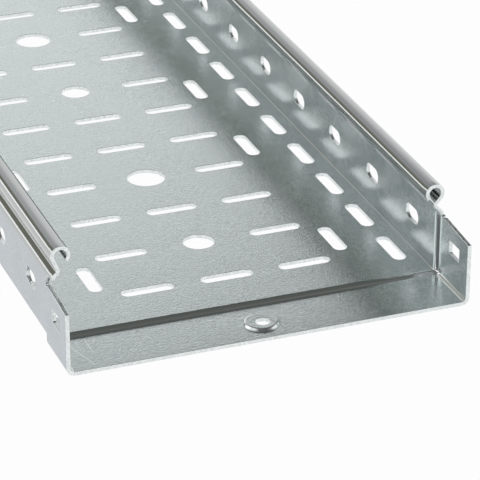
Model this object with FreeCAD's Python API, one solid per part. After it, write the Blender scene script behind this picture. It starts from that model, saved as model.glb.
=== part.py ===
import FreeCAD, Part
import math
import os

# Perforated cable tray: one length of galvanised sheet, folded and rolled in one piece.
# All sizes are millimetres. X runs across the tray, Y along it and Z up. While the
# tray is built, Y = 0 is where the full section starts and Z = 0 is its underside.
# The coupling end lies at negative Y, one sheet thickness lower and wider.

SHEET = 2.0                # sheet thickness
WIDTH = 200.0              # over the outer faces of the side walls
HEIGHT = 51.0              # underside of the floor to the top of the rolled edges
BODY_LENGTH = 2000.0       # the full section, as one length covers in a run

BEND_INNER = 2.0           # inside radius of the bend between floor and wall

RING_DIAMETER = 10.0       # outside diameter of the rolled edge
RING_START_ANGLE = -40.0   # where its round begins, degrees round from +X
RING_END_ANGLE = 224.0     # and where it ends, inside the tray
NECK_DEPTH = 3.6           # how far the neck under it lies inside the outer face
NECK_INNER = 0.5           # inside radius of the neck
FLANGE_LEAN = 42.0         # lean of the short flange between wall and neck
FLANGE_INNER = 1.0         # inside radius of the bend between wall and flange

STEP_LENGTH = 4.5          # the S-shaped step down and out to the coupling
STEP_SECTIONS = 3          # sections that shape the step, past its first
COUPLING_LENGTH = 29.0     # the level part of the coupling
RING_OVERHANG = 5.5        # how far the rolled edges reach out over the step
RELIEF_Z = 34.0            # underside of the edge that reaches out
WALL_TOP_START = 33.2      # height of the stepped wall where the relief starts
WALL_TOP_MOUTH = 31.8      # where the rolled edges end
WALL_TOP_END = 30.0        # and at the free end of the coupling
NOTCH_DIAMETER = 1.8       # round notch at the mouth of the relief
NOTCH_Y = -4.8

WINDOW_LENGTH = 11.5       # rectangular window in each coupling wall, along the tray
WINDOW_HEIGHT = 7.0        # and upward
WINDOW_Y = -18.4           # its centre
WINDOW_Z = 20.0

BOSS_DIAMETER = 16.4       # raised seat in the middle of the coupling floor
BOSS_RISE = 1.6
BOSS_SLOPE = 0.7           # how much wider its foot is, all round
BOSS_BORE = 7.0            # clearance hole for its bolt
BOSS_Y = -20.0

ROW_PITCH = 40.0           # from one row of floor slots to the next
FIRST_ROW = 28.5           # first row, from the start of the full section
PATTERN_ROWS = 5           # rows after which the pattern repeats
SLOT_LENGTH = 27.0
SLOT_WIDTH = 7.0
CROSS_SLOT_INSET = 59.0    # from a wall's outer face to the middle of a slot across
INNER_SLOT_INSET = 35.7    # to the middle of an inner slot, which runs along
OUTER_SLOT_INSET = 12.3    # and to the middle of an outer slot, which runs along too
SMALL_HOLE_ROW = 1         # the row of each repeat with the small hole in its middle
SMALL_HOLE_DIAMETER = 16.0
LARGE_HOLE_ROW = 3         # and the one with the large hole
LARGE_HOLE_DIAMETER = 20.0
INNER_SLOT_ROWS = (0.5, 3.5)   # where the inner slots lie, in rows of each repeat

SIDE_PITCH = 50.0          # from one wall hole to the next
FIRST_SIDE_HOLE = 27.1
SIDE_HOLE_LENGTH = 15.0
SIDE_HOLE_WIDTH = 8.0
SIDE_HOLE_Z = 20.0
END_MARGIN = 8.0           # least metal between a hole and the end of the sheet

STATED_ROWS = (4, 44)      # rows whose fixing slots are stated as mounts
PLAIN_END_SIDES = 3        # straight sides to each end of the many other slots
HOLE_SIDES = 12            # straight sides round each round hole of the floor
OVERCUT = 1.0              # how far a cutter reaches past the faces it cuts


class SheetPath:
    """Walks along the middle of the sheet and keeps the edges of both of its faces."""

    def __init__(self, x, z, heading):
        self.x = x
        self.z = z
        self.heading = heading
        self.left_edges = []
        self.right_edges = []
        self.start = (self.side(1), self.side(-1))

    def side(self, sign):
        """The point on the left (1) or right (-1) face beside the walker."""
        across = math.radians(self.heading + 90.0)
        reach = sign * SHEET / 2
        return FreeCAD.Vector(self.x + reach * math.cos(across), 0,
                              self.z + reach * math.sin(across))

    def straight(self, length):
        left, right = self.side(1), self.side(-1)
        self.x += length * math.cos(math.radians(self.heading))
        self.z += length * math.sin(math.radians(self.heading))
        self.left_edges.append(Part.makeLine(left, self.side(1)))
        self.right_edges.append(Part.makeLine(right, self.side(-1)))

    def bend(self, angle, inner_radius):
        """Turns by an angle, to the left when it is positive."""
        turn = 1 if angle > 0 else -1
        radius = inner_radius + SHEET / 2
        across = math.radians(self.heading + 90.0)
        centre_x = self.x + turn * radius * math.cos(across)
        centre_z = self.z + turn * radius * math.sin(across)
        ends = []
        for part_of_turn in (0.0, 0.5, 1.0):
            outward = math.radians(self.heading + part_of_turn * angle - turn * 90.0)
            ends.append((math.cos(outward), math.sin(outward)))
        for edges, sign in ((self.left_edges, 1), (self.right_edges, -1)):
            face_radius = radius - sign * turn * SHEET / 2
            points = []
            for cos_out, sin_out in ends:
                points.append(FreeCAD.Vector(centre_x + face_radius * cos_out, 0,
                                             centre_z + face_radius * sin_out))
            edges.append(Part.Arc(*points).toShape())
        self.x = centre_x + radius * ends[-1][0]
        self.z = centre_z + radius * ends[-1][1]
        self.heading += angle

    def face(self):
        """The closed section of the sheet that was walked."""
        near_end = Part.makeLine(*self.start)
        far_end = Part.makeLine(self.side(1), self.side(-1))
        edges = self.left_edges + self.right_edges + [near_end, far_end]
        return Part.Face(Part.Wire(Part.__sortEdges__(edges)))


def walk(path, steps):
    """Takes a path through its steps: a length, or a turn with its inside radius."""
    for step in steps:
        if isinstance(step, tuple):
            path.bend(*step)
        else:
            path.straight(step)


def open_section(half_width, underside, half_steps):
    """A section alike on both sides, from the steps that follow half of its floor."""
    level = underside + SHEET / 2
    half_floor = half_width - BEND_INNER - SHEET
    scout = SheetPath(half_floor, level, 0.0)
    walk(scout, half_steps)
    whole = SheetPath(-scout.x, scout.z, -scout.heading)
    walk(whole, half_steps[::-1] + [2 * half_floor] + half_steps)
    return whole.face()


def tray_section():
    """The full section, with a rolled edge over a leaning flange on each side."""
    lean = math.radians(FLANGE_LEAN)
    slope = math.radians(RING_START_ANGLE + 90.0)
    ring_radius = (RING_DIAMETER - SHEET) / 2
    neck_radius = NECK_INNER + SHEET / 2
    flange_radius = FLANGE_INNER + SHEET / 2
    ring_x = (WIDTH - RING_DIAMETER) / 2
    ring_z = HEIGHT - RING_DIAMETER / 2
    neck_x = WIDTH / 2 - NECK_DEPTH + NECK_INNER
    offset_x = (ring_radius + neck_radius) * math.sin(slope)
    ring_run = (ring_x + offset_x - neck_x) / math.cos(slope)
    neck_z = (ring_z - (ring_radius + neck_radius) * math.cos(slope)
              - ring_run * math.sin(slope))
    flange_top_x = neck_x - neck_radius * math.cos(lean)
    flange_top_z = neck_z - neck_radius * math.sin(lean)
    flange_foot_x = (WIDTH - SHEET) / 2 - flange_radius * (1 - math.cos(lean))
    flange_length = (flange_foot_x - flange_top_x) / math.sin(lean)
    wall_top_z = flange_top_z - flange_length * math.cos(lean) - flange_radius * math.sin(lean)
    wall_length = wall_top_z - BEND_INNER - SHEET
    neck_turn = FLANGE_LEAN - RING_START_ANGLE
    ring_turn = RING_END_ANGLE - RING_START_ANGLE
    return open_section(WIDTH / 2, 0.0, [
        (90.0, BEND_INNER), wall_length, (FLANGE_LEAN, FLANGE_INNER), flange_length,
        (-neck_turn, NECK_INNER), ring_run, (ring_turn, RING_DIAMETER / 2 - SHEET)])


def channel_section(step):
    """The plain channel below the edges, moved down and out by a step."""
    wall_length = WALL_TOP_START + step - BEND_INNER - SHEET
    return open_section(WIDTH / 2 + step, -step, [(90.0, BEND_INNER), wall_length])


def box_between(low, high):
    size = FreeCAD.Vector(*high) - FreeCAD.Vector(*low)
    return Part.makeBox(size.x, size.y, size.z, FreeCAD.Vector(*low))


def body():
    """The full section, whose rolled edges reach out over the step."""
    section = tray_section()
    section.translate(FreeCAD.Vector(0, -RING_OVERHANG, 0))
    solid = section.extrude(FreeCAD.Vector(0, BODY_LENGTH + RING_OVERHANG, 0))
    reach = WIDTH / 2 + OVERCUT
    below = box_between((-reach, -RING_OVERHANG - OVERCUT, -OVERCUT),
                        (reach, 0, RELIEF_Z))
    return solid.cut(below)


def coupling():
    """The step, and the channel beyond it that the next length sits in."""
    sections = []
    for number in range(STEP_SECTIONS + 1):
        share = number / STEP_SECTIONS
        section = channel_section(SHEET * (1 - math.cos(math.pi * share)) / 2)
        section.translate(FreeCAD.Vector(0, -STEP_LENGTH * share, 0))
        sections.append(section)
    step = Part.makeLoft([section.OuterWire for section in sections], True, True)
    channel = sections[-1].extrude(FreeCAD.Vector(0, -COUPLING_LENGTH, 0))
    return step.fuse(channel).cut(wall_top_cutter())


def relief_fall(y):
    """How far the top of the stepped wall has dropped at a place in the relief."""
    return (WALL_TOP_START - WALL_TOP_MOUTH) * -y / RING_OVERHANG


def wall_top_cutter():
    """Slopes the tops of the stepped walls down towards their free end."""
    end_y = -STEP_LENGTH - COUPLING_LENGTH
    reach = WIDTH / 2 + SHEET + OVERCUT
    corners = [(0, WALL_TOP_START), (-RING_OVERHANG, WALL_TOP_MOUTH), (end_y, WALL_TOP_END),
               (end_y - OVERCUT, WALL_TOP_END), (end_y - OVERCUT, WALL_TOP_START + OVERCUT),
               (0, WALL_TOP_START + OVERCUT)]
    outline = Part.makePolygon([FreeCAD.Vector(-reach, y, z) for y, z in corners + corners[:1]])
    return Part.Face(outline).extrude(FreeCAD.Vector(2 * reach, 0, 0))


def boss_on(solid):
    """Presses a round seat up out of the coupling floor and bores it."""
    radius = BOSS_DIAMETER / 2
    foot = FreeCAD.Vector(0, BOSS_Y, 0)
    raised = Part.makeCone(radius + BOSS_SLOPE, radius, BOSS_RISE, foot)
    hollow = Part.makeCylinder(radius - BOSS_SLOPE, BOSS_RISE,
                               foot - FreeCAD.Vector(0, 0, SHEET))
    bore = Part.makeCylinder(BOSS_BORE / 2, SHEET + BOSS_RISE + 2 * OVERCUT,
                             foot - FreeCAD.Vector(0, 0, SHEET + OVERCUT))
    return solid.fuse(raised).cut(hollow).cut(bore)


def end_points(radius, sides):
    """Corners of a round end of few sides, each side touching the true round."""
    turn = 180.0 / (sides + 1)
    reach = radius / math.cos(math.radians(turn / 2))
    points = []
    for corner in range(sides + 1):
        angle = math.radians(turn * (corner + 0.5) - 90.0)
        points.append((reach * math.cos(angle), reach * math.sin(angle)))
    return points


def slot_outline(length, width, rounded):
    """A slot along X about the origin, with round ends or ends of few sides."""
    radius = width / 2
    run = length / 2 - radius
    if rounded:
        corners = [FreeCAD.Vector(x, y, 0) for x, y in
                   ((run, -radius), (run + radius, 0), (run, radius),
                    (-run, radius), (-run - radius, 0), (-run, -radius))]
        edges = [Part.Arc(*corners[:3]).toShape(), Part.makeLine(corners[2], corners[3]),
                 Part.Arc(*corners[3:]).toShape(), Part.makeLine(corners[5], corners[0])]
        return Part.Wire(edges)
    near = [FreeCAD.Vector(run + x, y, 0) for x, y in end_points(radius, PLAIN_END_SIDES)]
    far = [FreeCAD.Vector(-point.x, -point.y, 0) for point in near]
    return Part.makePolygon(near + far + near[:1])


def hole_outline(diameter):
    """A hole about the origin, of few sides that touch the true round."""
    reach = diameter / 2 / math.cos(math.pi / HOLE_SIDES)
    corners = []
    for corner in range(HOLE_SIDES + 1):
        angle = 2 * math.pi * (corner + 0.5) / HOLE_SIDES
        corners.append(FreeCAD.Vector(reach * math.cos(angle), reach * math.sin(angle), 0))
    return Part.makePolygon(corners)


ACROSS = FreeCAD.Rotation()
ALONG = FreeCAD.Rotation(FreeCAD.Vector(0, 0, 1), 90)
SIDEWAYS = FreeCAD.Rotation(FreeCAD.Vector(0, 1, 0), FreeCAD.Vector(0, 0, 1),
                            FreeCAD.Vector(1, 0, 0))


def floor_cutter(outline, x, y, rotation=ACROSS):
    """Carries an outline through the floor at a place."""
    prism = Part.Face(outline).extrude(FreeCAD.Vector(0, 0, SHEET + 2 * OVERCUT))
    prism.Placement = FreeCAD.Placement(FreeCAD.Vector(x, y, -OVERCUT), rotation)
    return prism


def wall_cutter(outline, y, z):
    """Carries an outline through both walls at once."""
    reach = WIDTH / 2 + SHEET + OVERCUT
    prism = Part.Face(outline).extrude(FreeCAD.Vector(0, 0, 2 * reach))
    prism.Placement = FreeCAD.Placement(FreeCAD.Vector(-reach, y, z), SIDEWAYS)
    return prism


def row_count(first, pitch, length):
    """How many holes of a length fit before the far end of the body."""
    return int((BODY_LENGTH - END_MARGIN - length / 2 - first) // pitch) + 1


def row_cutters(row):
    """The holes of one row: slots across, or a hole between them, and outer slots."""
    y = FIRST_ROW + row * ROW_PITCH
    stated = row in STATED_ROWS
    slot = slot_outline(SLOT_LENGTH, SLOT_WIDTH, stated)
    middle = {SMALL_HOLE_ROW: SMALL_HOLE_DIAMETER, LARGE_HOLE_ROW: LARGE_HOLE_DIAMETER}
    cutters = []
    for side in (-1, 1):
        cutters.append(floor_cutter(slot, side * (WIDTH / 2 - CROSS_SLOT_INSET), y))
        cutters.append(floor_cutter(slot, side * (WIDTH / 2 - OUTER_SLOT_INSET), y, ALONG))
    if row % PATTERN_ROWS in middle:
        cutters.append(floor_cutter(hole_outline(middle[row % PATTERN_ROWS]), 0, y))
    else:
        cutters.append(floor_cutter(slot_outline(SLOT_LENGTH, SLOT_WIDTH, False), 0, y))
    return cutters


def inner_slot_cutters():
    """The inner slots that run along, between some of the rows."""
    slot = slot_outline(SLOT_LENGTH, SLOT_WIDTH, False)
    x = WIDTH / 2 - INNER_SLOT_INSET
    pitch = PATTERN_ROWS * ROW_PITCH
    cutters = []
    for offset in INNER_SLOT_ROWS:
        first = FIRST_ROW + offset * ROW_PITCH
        for repeat in range(row_count(first, pitch, SLOT_LENGTH)):
            y = first + repeat * pitch
            cutters.append(floor_cutter(slot, -x, y, ALONG))
            cutters.append(floor_cutter(slot, x, y, ALONG))
    return cutters


def side_hole_cutters():
    """The row of oblong holes in each wall."""
    hole = slot_outline(SIDE_HOLE_LENGTH, SIDE_HOLE_WIDTH, False)
    cutters = []
    for number in range(row_count(FIRST_SIDE_HOLE, SIDE_PITCH, SIDE_HOLE_LENGTH)):
        cutters.append(wall_cutter(hole, FIRST_SIDE_HOLE + number * SIDE_PITCH, SIDE_HOLE_Z))
    return cutters


def coupling_cutters():
    """The window in each coupling wall, and the notch at the mouth of its relief."""
    length, height = WINDOW_LENGTH / 2, WINDOW_HEIGHT / 2
    corners = [FreeCAD.Vector(x, y, 0) for x, y in
               ((-length, -height), (length, -height), (length, height), (-length, height))]
    window = Part.makePolygon(corners + corners[:1])
    notch = hole_outline(NOTCH_DIAMETER)
    return [wall_cutter(window, WINDOW_Y, WINDOW_Z),
            wall_cutter(notch, NOTCH_Y, WALL_TOP_START - relief_fall(NOTCH_Y))]


def tray():
    """The whole tray, with its origin under the middle of its length and width."""
    solid = boss_on(body().fuse(coupling()))
    cutters = inner_slot_cutters() + side_hole_cutters() + coupling_cutters()
    for row in range(row_count(FIRST_ROW, ROW_PITCH, SLOT_LENGTH)):
        cutters += row_cutters(row)
    solid = solid.cut(cutters).removeSplitter()
    coupling_end = -STEP_LENGTH - COUPLING_LENGTH
    solid.translate(FreeCAD.Vector(0, -(BODY_LENGTH + coupling_end) / 2, SHEET))
    return solid.Solids[0]


os.makedirs("parts", exist_ok=True)
tray().exportStep("parts/tray.step")
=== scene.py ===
import math

import bpy
import numpy as np
from bpy.props import FloatProperty, FloatVectorProperty, IntProperty, PointerProperty
from mathutils import Euler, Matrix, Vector
from mathutils.geometry import delaunay_2d_cdt


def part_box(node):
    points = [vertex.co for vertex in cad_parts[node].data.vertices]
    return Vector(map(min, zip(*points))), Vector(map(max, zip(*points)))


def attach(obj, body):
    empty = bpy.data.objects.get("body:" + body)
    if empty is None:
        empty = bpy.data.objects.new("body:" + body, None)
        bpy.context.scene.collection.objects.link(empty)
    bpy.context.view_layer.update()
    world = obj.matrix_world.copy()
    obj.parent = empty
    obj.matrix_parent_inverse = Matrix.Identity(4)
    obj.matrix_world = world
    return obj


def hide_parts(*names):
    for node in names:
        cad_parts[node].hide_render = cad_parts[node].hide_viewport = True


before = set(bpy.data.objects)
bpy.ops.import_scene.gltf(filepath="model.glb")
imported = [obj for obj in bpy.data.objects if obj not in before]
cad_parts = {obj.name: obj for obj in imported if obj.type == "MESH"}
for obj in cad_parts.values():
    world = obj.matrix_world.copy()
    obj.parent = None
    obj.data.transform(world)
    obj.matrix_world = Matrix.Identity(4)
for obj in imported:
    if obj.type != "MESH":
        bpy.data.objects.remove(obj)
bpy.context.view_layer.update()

bl_info = {
    "name": "Perforated Cable Tray",
    "version": (1, 0, 0),
    "blender": (4, 5, 0),
    "location": "3D View > Sidebar > Cable Tray",
    "description": "Makes one length of galvanised cable tray, folded and rolled from sheet",
    "category": "Add Mesh",
}

LOW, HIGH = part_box("tray")
SHEET = 0.002
COUPLING = 0.0335


# Sizes. X runs across the tray, Y along it from the coupling end, and Z up. Heights are
# over the underside of the floor, and places along the tray are from where the full
# section starts, one coupling behind the front end.

def length(name, description, default):
    return FloatProperty(name=name, description=description, default=default,
                         unit="LENGTH", subtype="DISTANCE", precision=5)


def angle(name, description, degrees):
    return FloatProperty(name=name, description=description, default=math.radians(degrees),
                         unit="ROTATION", subtype="ANGLE")


def share(name, description, default):
    return FloatProperty(name=name, description=description, default=default, min=0.0, max=1.0)


def count(name, description, default):
    return IntProperty(name=name, description=description, default=default, min=1)


def brightness(name, description, default):
    return FloatProperty(name=name, description=description, default=default, min=0.0)


def part(name, description, default):
    return FloatProperty(name=name, description=description, default=default, min=-1.0, max=1.0)


def colour(name, description, default):
    return FloatVectorProperty(name=name, description=description, default=default,
                               subtype="COLOR", size=3, min=0.0, max=1.0)


class SheetSizes(bpy.types.PropertyGroup):
    """The sheet and the channel that it is folded into"""

    thickness: length("Thickness", "Thickness of the sheet", SHEET)
    width: length("Width", "Over the outer faces of the walls", HIGH.x - LOW.x - 2 * SHEET)
    height: length("Height", "Underside of the floor to the top of the rolled edges", 0.051)
    body: length("Body", "Length of the full section", HIGH.y - LOW.y - COUPLING)
    bend: length("Bend", "Inside radius between floor and wall in the full section", 0.0005)
    coupling_bend: length("Coupling bend", "That radius in the coupling", 0.002)
    edge_round: length("Edge round", "Rounding of cut and punched edges", 0.00022)


class RolledEdgeSizes(bpy.types.PropertyGroup):
    """The rolled edge on top of each wall"""

    diameter: length("Diameter", "Outside diameter of the roll", 0.010)
    end: angle("End", "Where its round ends, inside the tray", 224.0)
    overhang: length("Overhang", "How far the roll reaches out over the step", 0.0055)


class RightNeckSizes(bpy.types.PropertyGroup):
    """The flange and neck that carry the rolled edge on the right"""

    start: angle("Start", "Where the round of the roll begins, up from outward", -40.0)
    depth: length("Depth", "How far the neck lies inside the wall's face", 0.0036)
    neck: length("Neck", "Inside radius of the neck", 0.0005)
    lean: angle("Lean", "Lean of the flange between wall and neck", 42.0)
    flange: length("Flange", "Inside radius of the bend between wall and flange", 0.001)


class LeftNeckSizes(bpy.types.PropertyGroup):
    """The same on the left, where the neck is lower and shallower and the flange rounder"""

    start: angle("Start", "Where the round of the roll begins, up from outward", -23.0)
    depth: length("Depth", "How far the neck lies inside the wall's face", 0.00275)
    neck: length("Neck", "Inside radius of the neck", 0.0008)
    lean: angle("Lean", "Lean of the flange between wall and neck", 47.0)
    flange: length("Flange", "Inside radius of the bend between wall and flange", 0.0028)


class CouplingSizes(bpy.types.PropertyGroup):
    """The stepped end that the next length sits in"""

    step: length("Step", "Length of the step down and out", 0.0038)
    step_start: length("Step start", "Where it starts", 0.0005)
    step_turn: share("Step turn", "How far along it is steepest", 0.675)
    relief: length("Relief", "Height of the underside of the edge over the step", 0.034)
    top_start: length("Top at step", "Height of the stepped wall in the relief", 0.0332)
    top_mouth: length("Top at mouth", "Its height where the rolled edge ends", 0.0318)
    top_end: length("Top at end", "Its height at the free end", 0.030)
    sunk_below: length("Sunk below", "Height below which the whole step down is made", 0.026)
    notch: length("Notch", "Diameter of the notch at the mouth of the relief", 0.0018)
    notch_y: length("Notch place", "Place of the notch along the tray", -0.0048)
    window_length: length("Window length", "Window in the coupling wall", 0.0115)
    window_height: length("Window height", "Height of that window", 0.007)
    window_round: length("Window round", "Rounding of its corners", 0.0008)
    window_y: length("Window place", "Its middle along the tray", -0.0184)
    window_z: length("Window level", "Its middle over the floor", 0.020)
    boss: length("Boss", "Diameter of the raised seat, halfway up", 0.0159)
    boss_rise: length("Boss rise", "Height of the raised seat", 0.00128)
    boss_slope: length("Boss slope", "Width of its slope, all round", 0.0016)
    boss_x: length("Boss across", "Its middle across the tray", -0.0005)
    boss_y: length("Boss place", "Its middle along the tray", -0.0193)
    bore: length("Boss bore", "Clearance hole in the seat", 0.007)
    bore_y: length("Bore place", "Its middle along the tray", -0.020)


class PatternSizes(bpy.types.PropertyGroup):
    """The slots and holes of the floor and the walls"""

    pitch: length("Row pitch", "From one row of slots to the next", 0.040)
    first: length("First row", "The first row, from the start of the full section", 0.0285)
    repeat: count("Repeat", "Rows after which the pattern repeats", 5)
    slot_length: length("Slot length", "Length of each floor slot", 0.027)
    slot_width: length("Slot width", "Width of each floor slot", 0.007)
    cross_inset: length("Cross slots", "From a wall to the slots across", 0.059)
    inner_inset: length("Inner slots", "From a wall to the inner slots along", 0.0357)
    outer_inset: length("Outer slots", "From a wall to the outer slots along", 0.0123)
    small_hole: length("Small hole", "Diameter of the small hole", 0.016)
    large_hole: length("Large hole", "Diameter of the large hole", 0.020)
    side_pitch: length("Side pitch", "From one wall hole to the next", 0.050)
    side_first: length("First side hole", "The first wall hole", 0.0271)
    side_length: length("Side hole length", "Length of each wall hole", 0.015)
    side_width: length("Side hole width", "Height of each wall hole", 0.008)
    side_z: length("Side hole level", "Middle of the wall holes over the floor", 0.020)
    margin: length("Margin", "Least metal between a hole and the far end", 0.008)


# Rows of each repeat with a round hole in their middle, and the places of the inner slots.
SMALL_HOLE_ROW, LARGE_HOLE_ROW = 1, 3
INNER_SLOT_ROWS = (0.5, 3.5)
# The ends of two fine scratches on the floor of the coupling.
SCRATCHES = (((-0.0924, -0.9944, 0.002), (-0.0874, -1.0127, 0.002)),
             ((-0.0843, -0.9880, 0.002), (-0.0844, -0.9984, 0.002)))


class ZincFinish(bpy.types.PropertyGroup):
    """The zinc coat of the sheet, and its bare cut edges. The outer face is a darker, bluer copy
    of the coat, painted shade, and the bends take a colour of their own, partly burnish and partly
    painted light.
    """

    light: colour("Light zinc", "Lighter patches of the coat", (0.665, 0.724, 0.722))
    dark: colour("Dark zinc", "Darker patches of the coat", (0.57, 0.621, 0.62))
    # Painted shade: the outer face is a darker, bluer copy of the coat, for the shadowed floor
    # that it mirrors.
    shaded_outer_light: colour("Light outer zinc", "Lighter patches of the outer face",
                        (0.46, 0.50, 0.535))
    shaded_outer_dark: colour("Dark outer zinc", "Darker patches of the outer face",
                       (0.376, 0.415, 0.443))
    # Painted light on the bends: lighter than the coat on the inner face, a painted highlight as
    # well as burnish; on the outer face, at the level of its painted shade.
    burnish_and_painted_light: colour("Burnished zinc", "The coat where the sheet is bent or drawn",
                      (0.78, 0.80, 0.79))
    shaded_outer_bend: colour("Burnished outer zinc", "The same on the outer face",
                            (0.455, 0.475, 0.47))
    cut: colour("Cut edge", "Sheared edges of the sheet", (0.83, 0.87, 0.87))
    gloss: share("Gloss", "Roughness of the coat", 0.20)
    formed_gloss: share("Formed gloss", "Its roughness where the sheet is bent or drawn", 0.11)
    cut_gloss: share("Cut gloss", "Roughness of the cut edges", 0.13)
    grain: length("Grain", "Size of the grain of the coat", 0.0022)
    fine: length("Fine grain", "Size of the finer grain in it", 0.000792)
    cloud: length("Cloud", "Size of the patches of the coat", 0.0198)
    hair: length("Hair", "Size of the hair lines in the coat", 0.0016)
    hair_width: share("Hair width", "Width of a hair line, in the noise that draws it", 0.035)
    scratch: length("Scratch", "Half the width of a scratch", 0.00035)
    scored: share("Scored", "How light a hair line is, where a scratch is 1", 0.45)
    scored_light: brightness("Scored light", "A scratch, in terms of the lighter patches", 1.3)
    rougher: share("Rougher", "How much rougher the lighter patches are", 0.06)
    torn: length("Torn", "Size of the torn patches of a cut edge", 0.0009)
    torn_dark: share("Torn dark", "A torn patch, in terms of the rest of the edge", 0.84)
    torn_gloss: share("Torn gloss", "How much rougher a torn patch is", 0.2)
    torn_relief: share("Torn relief", "Its depth, in terms of the relief of the coat", 0.1)
    relief: length("Relief", "How deep the grain is", 0.00016)
    formed_relief: share("Formed relief", "How much of it is left where the sheet is bent", 0.15)


class StudioLook(bpy.types.PropertyGroup):
    """The camera, the floor and the light"""

    ahead: length("Ahead", "Camera, in front of the coupling end", 1.0865)
    aside: length("Aside", "Camera, left of the middle of the tray", 0.4351)
    above: length("Above", "Camera, over the floor it stands on", 0.6391)
    tilt: angle("Tilt", "Camera, up from straight down", 63.387)
    roll: angle("Roll", "Camera, about its own axis", -0.234)
    turn: angle("Turn", "Camera, about the vertical", -20.934)
    lens: FloatProperty(name="Lens", description="Focal length for a 36 mm sensor",
                        default=211.71, unit="CAMERA")
    view_end: length("View end", "How far the camera sees", 100.0)
    floor_size: length("Floor size", "Side of the floor", 60.0)
    floor_paint: share("Floor paint", "Paleness of the paint that takes the shadow", 0.9)
    paleness: share("Paleness", "How much of the floor's look is plain white", 0.97)
    backdrop: share("Backdrop", "Brightness of the room at the height of the object", 1.0)
    glow: brightness("Glow", "Brightness just above the horizon on the left", 1.95)
    glow_top: angle("Glow top", "How high above the horizon that reaches", 9.0)
    glow_full: part("Glow full", "Side left of which it is full", -0.45)
    glow_end: part("Glow end", "Side right of which it is gone", -0.2)
    ceiling: colour("Ceiling", "The room overhead", (0.36, 0.37, 0.39))
    ceiling_rise: angle("Ceiling rise", "How high above the horizon the ceiling begins", 17.0)
    ceiling_slant: share("Ceiling slant", "How much lower it begins on the left", 0.4)
    ceiling_depth: share("Ceiling depth", "The height over which it darkens", 0.45)
    ceiling_front: share("Ceiling front", "Brightness overhead on the camera's side", 0.14)
    front_full: part("Front full", "Place before which that is full", -0.3)
    front_end: part("Front end", "Place behind which it is gone", 0.15)
    overhead: share("Overhead", "Brightness of the room right above and to the left", 0.95)
    overhead_foot: part("Overhead foot", "Height below which that is gone", 0.62)
    overhead_top: part("Overhead top", "Height above which it is full", 0.8)
    overhead_full: part("Overhead full", "Side left of which it is full", -0.5)
    overhead_end: part("Overhead end", "Side right of which it is gone", -0.3)
    bar: colour("Dark bar", "The dark bar that the bends of the sheet mirror",
                (0.105, 0.113, 0.106))
    bar_side: share("Bar side", "How far to the right the dark bar overhead hangs", 0.36)
    bar_core: share("Bar core", "How far to either side it is full", 0.20)
    bar_reach: share("Bar reach", "How far to either side it is gone", 0.32)
    bar_slant: share("Bar slant", "How much lower its far end hangs towards the right", 0.6)
    bar_edge: share("Bar edge", "Where its far end hangs", 0.685)
    bar_blur: share("Bar blur", "How far that end is blurred to either side", 0.03)
    bar_end: part("Bar end", "Place before which it is gone", -0.65)
    bar_full: part("Bar full", "Place behind which it is full", -0.12)
    screen: colour("Dark screen", "The screen that gives the rolls their dark line",
                   (0.26, 0.255, 0.215))
    screen_turn: angle("Screen turn", "The dark screen, left from straight behind", 29.0)
    screen_rise: angle("Screen rise", "Its height above the horizon", 14.0)
    screen_edge: angle("Screen edge", "How far from its middle it is gone", 15.0)
    screen_core: angle("Screen core", "How far from its middle it is full", 3.0)
    screen_foot: angle("Screen foot", "How high above the horizon its foot is", 4.0)
    screen_blur: share("Screen blur", "How far its foot is blurred up and down", 0.04)
    softbox: brightness("Softbox", "Brightness of the lamp on the left", 1.6)
    softbox_turn: angle("Softbox turn", "That lamp, left from straight behind", 60.0)
    softbox_rise: angle("Softbox rise", "Its height above the horizon", 30.0)
    softbox_edge: angle("Softbox edge", "How far from its middle it is gone", 24.0)
    softbox_core: angle("Softbox core", "How far from its middle it is full", 12.0)


# The flat sheet. Its points are (run, y): run goes across the sheet from the middle of
# the floor, along the middle of the sheet's thickness, and y along the tray.

ROUND_POINTS = 20          # steps round both ends of a slot
HOLE_POINTS = 32           # round a hole, and round the raised seat
WINDOW_STEPS = 3           # round each corner of a window
NOTCH_POINTS = 7           # round the notch of the relief
RELIEF_POINTS = 8          # along the relief, over the step
CORNER_LINES = 7           # creases across the bend between floor and wall
LEAST_STEPS = 4            # least steps across any other bend,
BEND_STEP = 11.5           # and how many degrees each turns
STEP_LINES = (9, 7)        # lines to where the step is steepest, and on from there
SEAT_RINGS = 11            # rings round the slope of the raised seat,
SEAT_REACH = 0.75          # how far they reach from its middle, in widths of the slope,
SEAT_SHIFT = 0.4           # and how much of its slant sets its two faces apart
STATION = 0.1              # from one point of a crease to the next
PAST_SHEET = 0.001         # how far creases run past the ends of the sheet
SHORT_OF_RELIEF = 0.0002   # how far the lines of the step stay inside the relief
FORMED_REACH = 8.0         # how fast the burnish and painted highlight of the bends set in with the forming
JUST_PAST = 0.00001        # the sheet takes the colour of the bends, burnish and painted light, from this far past the top of the wall
STRAIGHT = 1e-9            # a curve below this is straight
MERGED = 1e-6              # flat points nearer than this become one
INSIDE = 1                 # tells the triangulation to keep what lies inside the loops
MITRE_LIMIT = 0.3          # keeps sharp corners of the cuts from growing long
SHARP_DEGREES = 50.0       # edges sharper than this stay sharp in the shading


def straight(distance):
    return (distance, 0.0)


def bend(turn, inner_radius, thickness):
    return (abs(turn) * (inner_radius + thickness / 2), turn)


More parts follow.
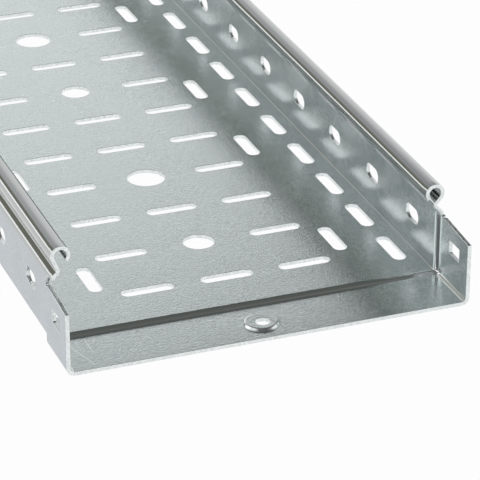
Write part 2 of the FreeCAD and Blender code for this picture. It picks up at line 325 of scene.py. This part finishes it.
class FoldLine:
    """The middle of the folded sheet, from the middle of the floor to the end of the roll."""

    def __init__(self, level, moves):
        self.starts, self.x, self.z, self.headings, self.curves = [0.0], [0.0], [level], [0.0], []
        for distance, turn in moves:
            curve, heading = turn / distance, self.headings[-1]
            self.curves.append(curve)
            if curve:
                move_x = (math.sin(heading + turn) - math.sin(heading)) / curve
                move_z = (math.cos(heading) - math.cos(heading + turn)) / curve
            else:
                move_x, move_z = distance * math.cos(heading), distance * math.sin(heading)
            self.starts.append(self.starts[-1] + distance)
            self.x.append(self.x[-1] + move_x)
            self.z.append(self.z[-1] + move_z)
            self.headings.append(heading + turn)
        self.end = self.starts[-1]

    def at(self, run):
        """Where points of the line lie, and which way it heads there."""
        starts, x, z, headings, curves = (np.array(values) for values in (
            self.starts[:-1], self.x[:-1], self.z[:-1], self.headings[:-1], self.curves))
        move = np.clip(np.searchsorted(starts, run, side="right") - 1, 0, len(curves) - 1)
        done, curve, first = run - starts[move], curves[move], headings[move]
        heading = first + curve * done
        flat = np.abs(curve) < STRAIGHT
        safe = np.where(flat, 1.0, curve)
        across = np.where(flat, done * np.cos(first), (np.sin(heading) - np.sin(first)) / safe)
        upward = np.where(flat, done * np.sin(first), (np.cos(first) - np.cos(heading)) / safe)
        return x[move] + across, z[move] + upward, heading


def section_moves(sheet, edge, neck_size, bend_radius):
    """The moves of one side of a section, each a distance and the turn made along it."""
    thickness, half_width = sheet.thickness, sheet.width / 2
    half = thickness / 2
    slope = neck_size.start + math.pi / 2
    ring, neck, flange = edge.diameter / 2 - half, neck_size.neck + half, neck_size.flange + half
    neck_x = half_width - neck_size.depth + neck_size.neck
    ring_x = half_width - edge.diameter / 2
    ring_run = (ring_x + (ring + neck) * math.sin(slope) - neck_x) / math.cos(slope)
    neck_z = (sheet.height - edge.diameter / 2 - (ring + neck) * math.cos(slope)
              - ring_run * math.sin(slope))
    lean = neck_size.lean
    top_x, top_z = neck_x - neck * math.cos(lean), neck_z - neck * math.sin(lean)
    foot_x = half_width - half - flange * (1 - math.cos(lean))
    leaning = (foot_x - top_x) / math.sin(lean)
    wall_top = top_z - leaning * math.cos(lean) - flange * math.sin(lean)
    return [straight(half_width - bend_radius - thickness),
            bend(math.pi / 2, bend_radius, thickness),
            straight(wall_top - bend_radius - thickness),
            bend(lean, neck_size.flange, thickness), straight(leaning),
            bend(neck_size.start - lean, neck_size.neck, thickness), straight(ring_run),
            bend(edge.end - neck_size.start, edge.diameter / 2 - thickness, thickness)]


class Side:
    """One side of the sheet, with the round bend of the coupling and the tight one behind it."""

    def __init__(self, sheet, edge, neck_size):
        self.moves = section_moves(sheet, edge, neck_size, sheet.coupling_bend)
        self.line = FoldLine(sheet.thickness / 2, self.moves)
        self.tight = FoldLine(sheet.thickness / 2,
                              section_moves(sheet, edge, neck_size, sheet.bend))
        leg = sheet.coupling_bend - sheet.bend
        self.runs = [0.0, self.line.starts[1], self.line.starts[2], self.line.end]
        self.tight_runs = [0.0, self.tight.starts[1] - leg, self.tight.starts[2] + leg,
                           self.tight.end]

    def at(self, run, stepped):
        """Where points lie and which way the sheet heads there; stepped is 1 in the coupling."""
        rounded = self.line.at(run)
        tight = self.tight.at(np.interp(run, self.runs, self.tight_runs))
        return [stepped * a + (1 - stepped) * b for a, b in zip(rounded, tight)]

    def creases(self):
        """The runs at which the sheet is bent: the ends of each bend and steps within it."""
        corner = np.linspace(self.tight.starts[1], self.tight.starts[2], CORNER_LINES)
        legs = [(corner[end] + self.tight_runs[1 + place]) / 2 for end, place in ((0, 0), (-1, 1))]
        runs = [*self.runs[1:3], *np.interp([*corner, *legs], self.tight_runs, self.runs)]
        for start, (distance, turn) in list(zip(self.line.starts, self.moves))[2:]:
            if turn:
                steps = max(LEAST_STEPS, round(abs(turn) / math.radians(BEND_STEP)))
                runs += [start + distance * step / steps for step in range(steps + 1)]
        return runs


def smooth_rise(done, rounded=0.25):
    """From 0 to 1 in a straight slope, rounded over a part of its length at both ends."""
    done = np.clip(done, 0.0, 1.0)
    half = np.minimum(done, 1 - done)
    rise = np.where(half < rounded, half ** 2 / (2 * rounded), half - rounded / 2) / (1 - rounded)
    return np.where(done < 0.5, rise, 1 - rise)


class Tray:
    """Carries points of the flat sheet to where they lie on the folded tray."""

    def __init__(self, sheet, edge, necks, coupling, pattern):
        self.sheet, self.edge, self.coupling, self.pattern = sheet, edge, coupling, pattern
        self.left, self.right = (Side(sheet, edge, neck_size) for neck_size in necks)
        self.start = HIGH.y - sheet.body
        self.front = LOW.y - self.start
        self.lift = LOW.z + sheet.thickness
        self.relief_run = self.wall_run((coupling.relief + coupling.top_start) / 2)
        self.sunk_runs = [self.wall_run(coupling.sunk_below), self.wall_run(coupling.top_end)]

    def wall_run(self, z):
        """The run of a height on the upright part of the wall."""
        return self.right.line.starts[2] + z - self.right.line.z[2]

    def stepped(self, y):
        """How much of its step the sheet has made, at a place along the tray."""
        size = self.coupling
        done = np.clip((size.step_start - np.asarray(y)) / size.step, 0.0, 1.0)
        return np.where(done < size.step_turn, done ** 2 / size.step_turn,
                        1 - (1 - done) ** 2 / (1 - size.step_turn))

    def raised(self, x, y, depth):
        """How much of its rise the seat has made; depth is 1 at the upper face and -1 below."""
        size = self.coupling
        slant = size.boss_slope / size.boss_rise
        shift = depth * self.sheet.thickness / 2 * slant * SEAT_SHIFT
        away = np.hypot(x - size.boss_x, y - size.boss_y)
        return smooth_rise((size.boss / 2 + size.boss_slope / 2 + shift - away) / size.boss_slope)

    def folded(self, flat, depth):
        """The places of flat points at a depth from -1, the outer face, to 1, the inner one."""
        run, y = np.abs(flat[:, 0]), flat[:, 1]
        stepped = np.where(run < self.relief_run, self.stepped(y), 0.0)
        x, z, heading = (np.where(flat[:, 0] < 0, left, right) for left, right in
                         zip(self.left.at(run, stepped), self.right.at(run, stepped)))
        drop, half = stepped * self.sheet.thickness, self.sheet.thickness / 2
        outward = np.minimum(run / self.right.line.starts[1], 1.0)
        x = x + drop * outward - depth * half * np.sin(heading)
        z = z - drop * np.interp(run, self.sunk_runs, [1.0, 0.0]) + depth * half * np.cos(heading)
        z = z + self.coupling.boss_rise * self.raised(flat[:, 0], y, depth)
        side = np.where(flat[:, 0] < 0, -1.0, 1.0)
        return np.column_stack([side * x, y + self.start, z + self.lift])

    def formed(self, flat):
        """1 where the sheet is bent, stepped or drawn, which smooths it, and 0 where flat."""
        run, y, on_left = np.abs(flat[:, 0]), flat[:, 1], flat[:, 0] < 0
        stepped = np.where(run < self.relief_run, self.stepped(y), 0.0)
        heading = np.where(on_left, self.left.at(run, stepped)[2], self.right.at(run, stepped)[2])
        edge = np.where(on_left, self.left.line.starts[3], self.right.line.starts[3])
        bent = np.clip(heading * 2 / math.pi, 0.0, 1.0)
        shares = [stepped, self.raised(flat[:, 0], y, 0.0), bent]
        shaped = sum(done * (1 - done) for done in shares)
        return np.where(run > edge + JUST_PAST, 1.0, np.clip(FORMED_REACH * shaped, 0.0, 1.0))


def arc_points(x, y, radius, start, turn, steps):
    """Points on part of a round, from one angle through a turn."""
    angles = start + turn * np.arange(steps + 1) / steps
    return np.column_stack([x + radius * np.cos(angles), y + radius * np.sin(angles)])


def slot_points(size_x, size_y):
    """A slot about the origin with fully round ends, longer along X or along Y."""
    radius = min(size_x, size_y) / 2
    reach_x, reach_y = size_x / 2 - radius, size_y / 2 - radius
    first = -math.pi / 2 if size_x > size_y else 0.0
    return np.vstack([arc_points(reach_x, reach_y, radius, first, math.pi, ROUND_POINTS // 2),
                      arc_points(-reach_x, -reach_y, radius, first + math.pi, math.pi,
                                 ROUND_POINTS // 2)])


def hole_points(diameter):
    return arc_points(0, 0, diameter / 2, 0.0, 2 * math.pi, HOLE_POINTS)[:-1]


def window_points(size_x, size_y, radius):
    """A rectangle about the origin with small round corners."""
    corners = [(1, -1), (1, 1), (-1, 1), (-1, -1)]
    return np.vstack([arc_points(x * (size_x / 2 - radius), y * (size_y / 2 - radius), radius,
                                 (quarter - 1) * math.pi / 2, math.pi / 2, WINDOW_STEPS)
                      for quarter, (x, y) in enumerate(corners)])


def hole_rows(first, pitch, hole_length, sheet, margin):
    """The places along the tray of holes at a pitch, up to the far end."""
    number = int((sheet.body - margin - hole_length / 2 - first) // pitch) + 1
    return [first + row * pitch for row in range(number)]


def floor_holes(tray):
    """Every slot and hole of the floor, as loops of flat points."""
    size, half = tray.pattern, tray.sheet.width / 2
    across = slot_points(size.slot_length, size.slot_width)
    along = slot_points(size.slot_width, size.slot_length)
    middle = {SMALL_HOLE_ROW: hole_points(size.small_hole),
              LARGE_HOLE_ROW: hole_points(size.large_hole)}
    loops = []
    rows = hole_rows(size.first, size.pitch, size.slot_length, tray.sheet, size.margin)
    for row, y in enumerate(rows):
        loops.append(middle.get(row % size.repeat, across) + (0, y))
        for side in (-1, 1):
            loops.append(across + (side * (half - size.cross_inset), y))
            loops.append(along + (side * (half - size.outer_inset), y))
    repeat = size.repeat * size.pitch
    for offset in INNER_SLOT_ROWS:
        first = size.first + offset * size.pitch
        for y in hole_rows(first, repeat, size.slot_length, tray.sheet, size.margin):
            for side in (-1, 1):
                loops.append(along + (side * (half - size.inner_inset), y))
    return loops


def wall_holes(tray):
    """The holes of both walls, and the window in each coupling wall."""
    size, coupling = tray.pattern, tray.coupling
    hole = slot_points(size.side_width, size.side_length)
    window = window_points(coupling.window_height, coupling.window_length, coupling.window_round)
    loops = []
    for side in (-1, 1):
        run = side * tray.wall_run(size.side_z)
        for y in hole_rows(size.side_first, size.side_pitch, size.side_length, tray.sheet,
                           size.margin):
            loops.append(hole + (run, y))
        run = side * tray.wall_run(coupling.window_z + tray.sheet.thickness)
        loops.append(window + (run, coupling.window_y))
    return loops


def boss_bore(tray):
    return hole_points(tray.coupling.bore) + (0, tray.coupling.bore_y)


def relief_side(tray, side):
    """The cut end of one side of the sheet, from the coupling's corner to the far end."""
    size = tray.coupling
    overhang = tray.edge.overhang
    mouth_fall = size.top_start - size.top_mouth
    points = [(size.top_end, tray.front)]
    centre = size.top_start + mouth_fall * size.notch_y / overhang
    for turn in np.radians(np.linspace(-90, 90, NOTCH_POINTS)):
        points.append((centre - size.notch / 2 * math.cos(turn),
                       size.notch_y + size.notch / 2 * math.sin(turn)))
    for y in np.linspace(size.notch_y + size.notch / 2, 0.0, RELIEF_POINTS)[1:]:
        points.append((size.top_start + mouth_fall * y / overhang, y))
    lower = [(tray.wall_run(z), y) for z, y in points]
    relief = tray.wall_run(size.relief)
    return lower + [(relief, 0.0), (relief, -overhang), (side.line.end, -overhang),
                    (side.line.end, tray.sheet.body)]


def sheet_outline(tray):
    """The outline of the flat sheet, with the metal on the left of its points in turn."""
    right = relief_side(tray, tray.right)
    left = [(-run, y) for run, y in reversed(relief_side(tray, tray.left))]
    return np.array(right + left)


def grown(loop, distance):
    """A closed loop whose sides are moved to their right by a distance."""
    ahead = np.roll(loop, -1, axis=0) - loop
    ahead /= np.linalg.norm(ahead, axis=1)[:, None]
    out = np.column_stack([ahead[:, 1], -ahead[:, 0]])
    before = np.roll(out, 1, axis=0)
    return loop + distance * (out + before) / (1 + np.sum(out * before, axis=1))[:, None]


def crease_lines(tray):
    """The lines that keep the bends, the step and the raised seat in the flat sheet."""
    size, body = tray.coupling, tray.sheet.body
    stations = np.arange(0.0, body + STATION, STATION)
    lines = []
    for way, side in ((-1, tray.left), (1, tray.right)):
        for run in side.creases():
            low = tray.front if run < tray.relief_run else -tray.edge.overhang
            points = np.concatenate([[low - PAST_SHEET], stations[:-1], [body + PAST_SHEET]])
            lines.append([(way * run, y) for y in points])
    reach, turn = tray.relief_run - SHORT_OF_RELIEF, size.step_turn
    before, after = STEP_LINES
    for done in (*np.linspace(0.0, turn, before), *np.linspace(turn, 1.0, after)[1:]):
        y = size.step_start - size.step * done
        lines.append([(-reach, y), (reach, y)])
    slope_rings = np.linspace(-SEAT_REACH, SEAT_REACH, SEAT_RINGS) * size.boss_slope
    for away in slope_rings + size.boss / 2:
        ring = arc_points(size.boss_x, size.boss_y, away, 0.0, 2 * math.pi, HOLE_POINTS)
        lines.append([tuple(point) for point in ring])
    return lines


def flat_triangles(tray):
    """Cuts the flat sheet, less its holes, into triangles that keep its creases."""
    rounding = tray.sheet.edge_round
    outline = grown(sheet_outline(tray), -rounding)
    loops = [outline]
    for hole in floor_holes(tray) + wall_holes(tray) + [boss_bore(tray)]:
        loops.append(grown(hole, rounding))
    points, faces, edges = [], [], []
    for loop in loops:
        faces.append(list(range(len(points), len(points) + len(loop))))
        points += [Vector(point) for point in loop]
    for line in crease_lines(tray):
        first = len(points)
        edges += [(place, place + 1) for place in range(first, first + len(line) - 1)]
        points += [Vector(point) for point in line]
    places, _, triangles, _, _, sources = delaunay_2d_cdt(points, edges, faces, INSIDE, MERGED)
    kept = [face for face, source in zip(triangles, sources) if list(source) == [0]]
    used = sorted({corner for face in kept for corner in face})
    number = {corner: place for place, corner in enumerate(used)}
    flat = np.array([places[corner][:] for corner in used], dtype=float)
    return flat, np.array([[number[corner] for corner in face] for face in kept])


def cut_edges(flat, triangles):
    """The sides of the triangles along the cuts, and which way each of their ends faces out."""
    sides = {tuple(side) for face in triangles
             for side in ((face[0], face[1]), (face[1], face[2]), (face[2], face[0]))}
    edges = np.array([side for side in sides if side[::-1] not in sides])
    edges = edges[np.lexsort((edges[:, 1], edges[:, 0]))]
    ahead = flat[edges[:, 1]] - flat[edges[:, 0]]
    ahead /= np.linalg.norm(ahead, axis=1)[:, None]
    out = np.column_stack([ahead[:, 1], -ahead[:, 0]])
    leaving, coming = np.zeros_like(flat), np.zeros_like(flat)
    leaving[edges[:, 0]] = out
    coming[edges[:, 1]] = out
    share_of_both = np.maximum(1 + np.sum(leaving * coming, axis=1), MITRE_LIMIT)
    return edges, (leaving + coming) / share_of_both[:, None]


def edge_profile(rounding, half_thickness):
    """The round-over of a cut edge from face to face: how far out, and at what depth."""
    steps = [(rounding * math.cos(turn), 1 - rounding / half_thickness * (1 - math.sin(turn)))
             for turn in np.radians([90, 45, 0])]
    return steps + [(out, -depth) for out, depth in reversed(steps)]


def tray_mesh(tray):
    """The whole sheet, pierced flat and folded up, as one closed mesh."""
    flat, triangles = flat_triangles(tray)
    edges, outward = cut_edges(flat, triangles)
    number = len(flat)
    rim = np.unique(edges)
    slot = np.full(number, -1)
    slot[rim] = np.arange(len(rim))
    profile = edge_profile(tray.sheet.edge_round, tray.sheet.thickness / 2)
    places = [tray.folded(flat, np.ones(number)), tray.folded(flat, -np.ones(number))]
    formed = [tray.formed(flat)] * 2
    rings = [np.arange(number)]
    for out, depth in profile[1:-1]:
        rings.append(2 * number + (len(places) - 2) * len(rim) + slot)
        places.append(tray.folded(flat[rim] + out * outward[rim], np.full(len(rim), depth)))
        formed.append(formed[0][rim])
    rings.append(number + np.arange(number))
    faces = [tuple(face) for face in triangles]
    faces += [tuple(face[::-1] + number) for face in triangles]
    sides = [0] * len(triangles) + [1] * len(triangles)
    for upper, lower in zip(rings, rings[1:]):
        first, second = edges[:, 0], edges[:, 1]
        quads = np.column_stack([upper[first], lower[first], lower[second], upper[second]])
        faces += [tuple(quad) for quad in quads]
    mesh = bpy.data.meshes.new("tray_sheet")
    mesh.from_pydata(np.vstack(places).tolist(), [], [[int(v) for v in face] for face in faces])
    mesh.polygons.foreach_set("material_index", sides + [2] * (len(faces) - len(sides)))
    mesh.polygons.foreach_set("use_smooth", [True] * len(faces))
    mesh.attributes.new("formed", "FLOAT", "POINT").data.foreach_set(
        "value", np.concatenate(formed))
    mesh.set_sharp_from_angle(angle=math.radians(SHARP_DEGREES))
    mesh.validate()
    return mesh


# Finishes and light.

# How much each noise weighs in the tone and in the height of the coat.
TONE = {"grain": 0.25, "cloud": 0.15, "fine": 0.6}
HEIGHT = {"fine": 0.5, "grain": 0.22, "hair": 0.08}
# Values between which the tone goes from dark to light, the clouds begin to show hair lines,
# and the noise of a cut edge turns torn.
TONE_RUN, CLOUD_RUN, TORN_RUN = (0.40, 0.60), (0.42, 0.58), (0.36, 0.62)
HAIR_STRETCH = (0.3, 1.0, 1.0)
NOISE_FALL = 0.6


class Maths:
    """A socket that takes part in arithmetic, each step of which adds a Math node."""

    def __init__(self, tree, socket):
        self.tree, self.socket = tree, socket

    def __add__(self, other):
        return self.tree.step("ADD", self, other)

    def __radd__(self, other):
        return self.tree.step("ADD", other, self)

    def __sub__(self, other):
        return self.tree.step("SUBTRACT", self, other)

    def __rsub__(self, other):
        return self.tree.step("SUBTRACT", other, self)

    def __mul__(self, other):
        return self.tree.step("MULTIPLY", self, other)

    def __rmul__(self, other):
        return self.tree.step("MULTIPLY", other, self)


class Tree:
    """A node tree with one way to add a node: its type, its settings and its sockets."""

    def __init__(self, nodes_of):
        nodes_of.use_nodes = True
        self.nodes, self.links = nodes_of.node_tree.nodes, nodes_of.node_tree.links
        self.nodes.clear()

    def add(self, kind, settings=None, sockets=None, output=0):
        node = self.nodes.new(kind)
        for name, value in (settings or {}).items():
            setattr(node, name, value)
        for name, value in (sockets or {}).items():
            if isinstance(value, Maths):
                self.links.new(value.socket, node.inputs[name])
            else:
                node.inputs[name].default_value = value
        if not len(node.outputs):
            return None
        return Maths(self, node.outputs[output])

    def ramp(self, value, low, high):
        """Runs from 0 to 1 as a value goes from low to high, smoothly."""
        return self.add("ShaderNodeMapRange", {"interpolation_type": "SMOOTHSTEP"},
                        {"Value": value, "From Min": low, "From Max": high})

    def fade(self, value, low, high):
        """Runs from 1 to 0 as a value goes from low to high, smoothly."""
        return 1.0 - self.ramp(value, low, high)

    def step(self, operation, *values):
        """A Math node on numbers."""
        return self.add("ShaderNodeMath", {"operation": operation}, dict(enumerate(values)))

    def absolute(self, value):
        return self.step("ABSOLUTE", value)

    def vector(self, operation, *values, output="Vector", **sockets):
        """A Vector Math node on vectors, and on numbers given by the names of their sockets."""
        return self.add("ShaderNodeVectorMath", {"operation": operation},
                        {**dict(enumerate(values)), **sockets}, output)

    def mix(self, factor, first, second):
        """A colour between two others. The node's colour result is the third of its results."""
        return self.add("ShaderNodeMix", {"data_type": "RGBA"},
                        {"Factor": factor, "A": first, "B": second}, output=2)


def opaque(colour_value):
    return (*colour_value, 1.0)


def grey(value):
    return opaque([value] * 3)


def metal(tree, base, rough, height, relief):
    """Ends a material's tree in bare metal with a fine relief."""
    bump = tree.add("ShaderNodeBump", sockets={
        "Strength": 1.0, "Distance": relief, "Height": height})
    shader = tree.add("ShaderNodeBsdfPrincipled", sockets={
        "Base Color": base, "Metallic": 1.0, "Roughness": rough, "Normal": bump})
    tree.add("ShaderNodeOutputMaterial", sockets={"Surface": shader})


def noise(tree, where, size, detail=3.0, seed=0.0):
    """Cloudy noise of a size in metres, from 0 to 1."""
    return tree.add("ShaderNodeTexNoise", {"noise_dimensions": "4D"},
                    {"Vector": where, "W": seed, "Scale": 1.0 / size, "Detail": detail,
                     "Roughness": NOISE_FALL})


def scratch(tree, where, ends, width):
    """1 on a straight fine line between two points, and 0 away from it."""
    start, end = Vector(ends[0]), Vector(ends[1])
    along = end - start
    away = tree.vector("SUBTRACT", where, start)
    done = tree.add("ShaderNodeClamp", sockets={
        "Value": tree.vector("DOT_PRODUCT", away, along / along.length_squared, output="Value")})
    nearest = tree.vector("SCALE", along, Scale=done)
    distance = tree.vector("LENGTH", tree.vector("SUBTRACT", away, nearest), output="Value")
    return tree.fade(distance, 0.0, width)


def zinc_coat(name, finish, light, dark, burnish_and_painted_light):
    """Rolled zinc: grain and hair lines in two greys, and a colour of its own where the sheet is
    bent, partly burnish and partly painted light: a painted highlight on the inner face, and the
    painted shade's level on the outer one.
    """
    material = bpy.data.materials.new(name)
    tree = Tree(material)
    where = tree.add("ShaderNodeTexCoord", output="Object")
    formed = tree.add("ShaderNodeAttribute", {"attribute_name": "formed"}, output="Fac")
    grain = noise(tree, where, finish.grain)
    fine = noise(tree, where, finish.fine, detail=2.0, seed=7.0)
    cloud = noise(tree, where, finish.cloud, detail=2.0, seed=3.0)
    stretched = tree.vector("MULTIPLY", where, HAIR_STRETCH)
    strand = noise(tree, stretched, finish.hair, detail=1.0, seed=11.0)
    hair = tree.fade(tree.absolute(strand - 0.5), 0.0, finish.hair_width)
    hair = hair * tree.ramp(cloud, *CLOUD_RUN)
    tone = grain * TONE["grain"] + cloud * TONE["cloud"] + fine * TONE["fine"]
    tone = tree.ramp(tone, *TONE_RUN)
    base = tree.mix(tone, opaque(dark), opaque(light))
    scored = hair * finish.scored
    for ends in SCRATCHES:
        scored = tree.step("MAXIMUM", scored, scratch(tree, where, ends, finish.scratch))
    base = tree.mix(scored, base, opaque([finish.scored_light * value for value in light]))
    # Painted light: the bends take a colour of their own, a painted highlight on the inner face as
    # well as burnish.
    base = tree.mix(formed, base, opaque(burnish_and_painted_light))
    flat_rough = finish.gloss + (tone - 0.5) * finish.rougher
    rough = flat_rough * (1.0 - formed) + finish.formed_gloss * formed
    height = fine * HEIGHT["fine"] + grain * HEIGHT["grain"] + hair * HEIGHT["hair"]
    height = height * (1.0 - formed * (1.0 - finish.formed_relief))
    metal(tree, base, rough, height, finish.relief)
    return material


def cut_metal(finish):
    """Bare metal of a sheared or punched edge, part polished by the shear and part torn."""
    material = bpy.data.materials.new("sheared_edge")
    tree = Tree(material)
    where = tree.add("ShaderNodeTexCoord", output="Object")
    torn = tree.ramp(noise(tree, where, finish.torn, detail=2.0, seed=5.0), *TORN_RUN)
    darker = opaque([finish.torn_dark * value for value in finish.cut])
    base = tree.mix(torn, opaque(finish.cut), darker)
    rough = finish.cut_gloss + torn * finish.torn_gloss
    metal(tree, base, rough, torn * finish.torn_relief, finish.relief)
    return material


def seen_directly(tree):
    """1 for rays from the camera, off gloss or through glass, and otherwise 0."""
    camera, gloss, glass = (tree.add("ShaderNodeLightPath", output=f"Is {kind} Ray")
                            for kind in ("Camera", "Glossy", "Transmission"))
    return tree.step("MAXIMUM", camera, tree.step("MAXIMUM", gloss, glass))


def pale_floor(look):
    """A white floor that still takes a soft shadow."""
    material = bpy.data.materials.new("studio_floor")
    tree = Tree(material)
    paint = tree.add("ShaderNodeBsdfDiffuse", sockets={"Color": grey(look.floor_paint)})
    white = tree.add("ShaderNodeEmission", sockets={"Color": grey(1.0)})
    shader = tree.add("ShaderNodeMixShader", sockets={
        0: seen_directly(tree) * look.paleness, 1: paint, 2: white})
    tree.add("ShaderNodeOutputMaterial", sockets={"Surface": shader})
    return material


def round_patch(tree, way, turn, rise, edge, core):
    """1 within one angle of a direction, and 0 beyond a wider one."""
    middle = Euler((rise, 0, turn)).to_matrix() @ Vector((0, 1, 0))
    return tree.ramp(tree.vector("DOT_PRODUCT", way, middle, output="Value"),
                     math.cos(edge), math.cos(core))


def studio_light(tree, look):
    """A pale room: its dimmer ceiling, dark bar, lamp on the left, dark screen and low glow.

    Side, back and height are the parts of a direction, to the right, away and up."""
    way = tree.add("ShaderNodeTexCoord", output="Generated")
    side, back, height = (tree.add("ShaderNodeSeparateXYZ", sockets={"Vector": way}, output=axis)
                          for axis in "XYZ")

    ceiling = tree.mix(tree.ramp(back, look.front_full, look.front_end),
                       grey(look.ceiling_front), opaque(look.ceiling))
    low = math.sin(look.ceiling_rise)
    risen = tree.ramp(height - side * look.ceiling_slant, low, low + look.ceiling_depth)
    room = tree.mix(risen, grey(look.backdrop), ceiling)
    above = tree.ramp(height, look.overhead_foot, look.overhead_top)
    above = above * tree.fade(side, look.overhead_full, look.overhead_end)
    room = tree.mix(above, room, grey(look.overhead))

    bar = tree.ramp(height + side * look.bar_slant, look.bar_edge - look.bar_blur,
                    look.bar_edge + look.bar_blur)
    bar = bar * tree.ramp(back, look.bar_end, look.bar_full)
    bar = bar * tree.fade(tree.absolute(side - look.bar_side), look.bar_core, look.bar_reach)
    room = tree.mix(bar, room, opaque(look.bar))

    softbox = round_patch(tree, way, look.softbox_turn, look.softbox_rise, look.softbox_edge,
                          look.softbox_core)
    room = tree.mix(softbox, room, grey(look.softbox))
    screen = round_patch(tree, way, look.screen_turn, look.screen_rise, look.screen_edge,
                         look.screen_core)
    foot = math.sin(look.screen_foot)
    screen = screen * tree.ramp(height, foot - look.screen_blur, foot + look.screen_blur)
    room = tree.mix(screen, room, opaque(look.screen))

    top = math.sin(look.glow_top)
    glow = tree.fade(height, top / 2, top) * tree.fade(side, look.glow_full, look.glow_end)
    room = tree.mix(glow, room, grey(look.glow))
    light = tree.add("ShaderNodeBackground", sockets={"Color": room, "Strength": 1.0})
    tree.add("ShaderNodeOutputWorld", sockets={"Surface": light})


def linked(name, data):
    """A new object in the scene, with the given data."""
    piece = bpy.data.objects.new(name, data)
    bpy.context.scene.collection.objects.link(piece)
    return piece


class CABLETRAY_OT_sheet(bpy.types.Operator):
    """Make the pierced, folded and rolled sheet of the tray"""

    bl_idname = "cable_tray.sheet"
    bl_label = "Make Tray Sheet"

    def execute(self, context):
        sizes = context.scene
        necks = (sizes.tray_left_neck, sizes.tray_right_neck)
        tray = Tray(sizes.tray_sheet, sizes.tray_edge, necks, sizes.tray_coupling,
                    sizes.tray_pattern)
        mesh = tray_mesh(tray)
        finish = sizes.tray_finish
        mesh.materials.append(zinc_coat("inner_zinc", finish, finish.light, finish.dark,
                                        finish.burnish_and_painted_light))
        # The outer face gets the darker, bluer copy of the coat: painted shade.
        mesh.materials.append(zinc_coat("shaded_outer_zinc", finish, finish.shaded_outer_light,
                                        finish.shaded_outer_dark, finish.shaded_outer_bend))
        mesh.materials.append(cut_metal(finish))
        piece = linked("tray_sheet", mesh)
        weights = piece.modifiers.new("face weights", "WEIGHTED_NORMAL")
        weights.keep_sharp = True
        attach(piece, "root")
        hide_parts("tray")
        return {"FINISHED"}


class CABLETRAY_OT_stage(bpy.types.Operator):
    """Set up the floor, the light and the camera"""

    bl_idname = "cable_tray.stage"
    bl_label = "Set Up Stage"

    def execute(self, context):
        scene, look = context.scene, context.scene.tray_studio
        half = look.floor_size / 2
        mesh = bpy.data.meshes.new("studio_floor")
        mesh.from_pydata([(-half, -half, 0), (half, -half, 0), (half, half, 0), (-half, half, 0)],
                         [], [(0, 1, 2, 3)])
        mesh.materials.append(pale_floor(look))
        floor = linked("studio_floor", mesh)
        scene.world = bpy.data.worlds.new("studio_world")
        studio_light(Tree(scene.world), look)
        camera = linked("camera", bpy.data.cameras.new("camera"))
        camera.data.lens = look.lens
        camera.data.clip_end = look.view_end
        camera.location = (-look.aside, LOW.y - look.ahead, look.above)
        camera.rotation_euler = Euler((look.tilt, look.roll, look.turn))
        scene.camera = camera
        scene.view_settings.view_transform = "Standard"
        return {"FINISHED"}


class CABLETRAY_PT_sidebar(bpy.types.Panel):
    """Lists the sizes, and the buttons that make the tray"""

    bl_idname = "CABLETRAY_PT_sidebar"
    bl_label = "Cable Tray"
    bl_space_type = "VIEW_3D"
    bl_region_type = "UI"
    bl_category = "Cable Tray"

    def draw(self, context):
        for name, group in GROUPS.items():
            box = self.layout.box()
            box.label(text=group.bl_rna.description or name)
            for prop in group.__annotations__:
                box.prop(getattr(context.scene, name), prop)
        for operator in OPERATORS:
            self.layout.operator(operator.bl_idname)


GROUPS = {"tray_sheet": SheetSizes, "tray_edge": RolledEdgeSizes,
          "tray_left_neck": LeftNeckSizes, "tray_right_neck": RightNeckSizes,
          "tray_coupling": CouplingSizes, "tray_pattern": PatternSizes,
          "tray_finish": ZincFinish, "tray_studio": StudioLook}
OPERATORS = (CABLETRAY_OT_sheet, CABLETRAY_OT_stage)


def register():
    for kind in (*GROUPS.values(), *OPERATORS, CABLETRAY_PT_sidebar):
        bpy.utils.register_class(kind)
    for name, group in GROUPS.items():
        setattr(bpy.types.Scene, name, PointerProperty(type=group))


def unregister():
    for name in GROUPS:
        delattr(bpy.types.Scene, name)
    for kind in reversed((*GROUPS.values(), *OPERATORS, CABLETRAY_PT_sidebar)):
        bpy.utils.unregister_class(kind)


def main():
    """Make the tray and its stage."""
    register()
    bpy.ops.cable_tray.sheet()
    bpy.ops.cable_tray.stage()


if __name__ == "__main__":
    main()
